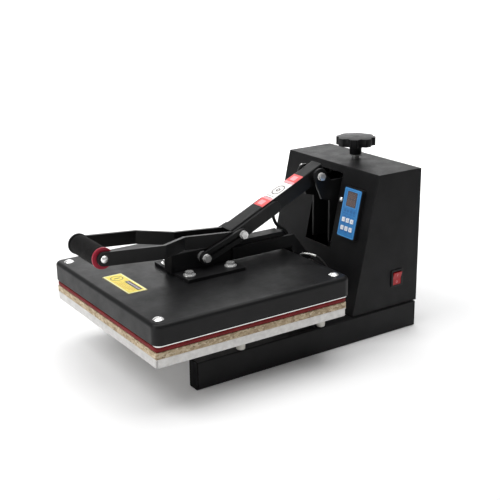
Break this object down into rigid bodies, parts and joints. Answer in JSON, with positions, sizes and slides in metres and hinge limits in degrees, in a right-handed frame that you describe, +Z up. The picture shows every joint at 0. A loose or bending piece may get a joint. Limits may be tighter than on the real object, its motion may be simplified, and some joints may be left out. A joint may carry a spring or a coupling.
{
  "type": "heat press",
  "caption": "Clamshell heat press with square heated head, padded lower platen, lever handle, pressure knob and control panel.",
  "frame": {"origin": "middle of the footprint on the table, under the middle of the overall box", "axes": "+X to the operator's right, +Y from the grip to the tower, +Z up"},
  "size_m": [0.39, 0.635, 0.357],
  "materials": {
    "black_paint": "satin, fine grain",
    "black_plastic": "matte",
    "zinc_steel": "bright zinc plated",
    "plain_steel": "turned, lightly oiled",
    "tray_metal": "satin",
    "heater_metal": "milled",
    "particle_board": "speckled chips",
    "silicone": "matte",
    "white_plastic": "matte",
    "blue_membrane": "semi gloss",
    "dark_window": "gloss",
    "key_white": "matte",
    "circuit_board": "semi gloss",
    "relay_metal": "extruded",
    "red_plastic": "gloss",
    "foam": "matte foam",
    "bronze": "turned",
    "black_sleeve": "matte",
    "braid": "braided",
    "wool": "soft"
  },
  "bodies": {
    "base": {"base_beam_left": "black_paint", "base_beam_right": "black_paint", "beam_end_caps": "black_plastic", "cross_tubes": "black_paint", "tower_floor": "black_paint", "hinge_bracket": "black_paint", "hinge_shaft": "plain_steel", "lower_platen": "tray_metal", "particle_board": "particle_board", "silicone_pad": "silicone", "platen_posts": "white_plastic", "tower_shell": "black_paint", "back_panel": "black_paint", "panel_screws": "zinc_steel", "guide_rails": "plain_steel", "spindle_bush": "plain_steel", "power_inlet": "black_plastic", "fuse_holder": "black_plastic", "switch_bezel": "black_plastic", "controller_housing": "black_plastic", "controller_face": "blue_membrane", "display_window": "dark_window", "control_board": "circuit_board", "heater_relay": "relay_metal"},
    "rocker": {"power_rocker": "red_plastic"},
    "knob": {"pressure_knob": "black_plastic", "spindle": "plain_steel"},
    "carriage": {"carriage": "black_paint", "pivot_bolt": "zinc_steel"},
    "lever": {"lever_channel": "black_paint", "right_leg": "black_paint", "left_leg": "black_paint", "knee_spacer": "plain_steel", "grip_tube": "plain_steel", "foam_grip": "foam", "grip_caps": "red_plastic", "grip_bolts": "zinc_steel"},
    "links": {"right_link": "black_paint", "left_link": "black_paint", "knee_bolts": "zinc_steel"},
    "head": {"head_cover": "black_paint", "cover_screws": "zinc_steel", "heater_plate": "heater_metal", "insulation": "wool", "mounting_plate": "black_paint", "plate_bolts": "zinc_steel", "head_arm": "black_paint", "hinge_cheeks": "black_paint", "hinge_bushes": "bronze", "link_bolt": "zinc_steel", "link_bushes": "zinc_steel", "lead_glands": "zinc_steel", "heater_lead": "black_sleeve", "thermocouple_lead": "braid"},
    "key_1": {"control_key_1": "key_white"},
    "key_2": {"control_key_2": "key_white"},
    "key_3": {"control_key_3": "key_white"},
    "key_4": {"control_key_4": "key_white"},
    "key_5": {"control_key_5": "key_white"},
    "key_6": {"control_key_6": "key_white"}
  },
  "joints": [
    {"name": "head_hinge", "type": "hinge", "parent": "base", "child": "head", "pos_m": [0, 0.14, 0.125], "axis": [-1, 0, 0], "range_deg": [0, 41.51], "deforming": ["heater_lead", "thermocouple_lead"]},
    {"name": "lever_hinge", "type": "hinge", "parent": "carriage", "child": "lever", "pos_m": [0, 0.164, 0.296], "axis": [-1, 0, 0], "range_deg": [0, 60.01]},
    {"name": "link_hinge", "type": "hinge", "parent": "head", "child": "links", "pos_m": [0, -0.091, 0.186], "axis": [1, 0, 0], "range_deg": [0, 112.46]},
    {"name": "knob_turn", "type": "hinge", "parent": "base", "child": "knob", "pos_m": [0, 0.27, 0.32], "axis": [0, 0, 1], "range_deg": [-720.1, 1080.1]},
    {"name": "carriage_slide", "type": "slide", "parent": "base", "child": "carriage", "axis": [0, 0, 1], "range_m": [-0.004, 0.006]},
    {"name": "rocker_hinge", "type": "hinge", "parent": "base", "child": "rocker", "pos_m": [0.135, 0.262, 0.106], "axis": [0, -1, 0], "range_deg": [0, 16]},
    {"name": "key_1_press", "type": "slide", "parent": "base", "child": "key_1", "axis": [0, 0.9771, -0.2126], "range_m": [0, 0.0008], "stiffness_N_per_m": 300, "springref_m": -0.001},
    {"name": "key_2_press", "type": "slide", "parent": "base", "child": "key_2", "axis": [0, 0.9771, -0.2126], "range_m": [0, 0.0008], "stiffness_N_per_m": 300, "springref_m": -0.001},
    {"name": "key_3_press", "type": "slide", "parent": "base", "child": "key_3", "axis": [0, 0.9771, -0.2126], "range_m": [0, 0.0008], "stiffness_N_per_m": 300, "springref_m": -0.001},
    {"name": "key_4_press", "type": "slide", "parent": "base", "child": "key_4", "axis": [0, 0.9771, -0.2126], "range_m": [0, 0.0008], "stiffness_N_per_m": 300, "springref_m": -0.001},
    {"name": "key_5_press", "type": "slide", "parent": "base", "child": "key_5", "axis": [0, 0.9771, -0.2126], "range_m": [0, 0.0008], "stiffness_N_per_m": 300, "springref_m": -0.001},
    {"name": "key_6_press", "type": "slide", "parent": "base", "child": "key_6", "axis": [0, 0.9771, -0.2126], "range_m": [0, 0.0008], "stiffness_N_per_m": 300, "springref_m": -0.001}
  ],
  "couplings": [
    {"joint": "lever_hinge", "follows": "head_hinge", "ratio": 1.4453},
    {"joint": "link_hinge", "follows": "head_hinge", "ratio": 2.7087},
    {"joint": "knob_turn", "follows": "carriage_slide", "rad_per_m": 3141.6}
  ]
}
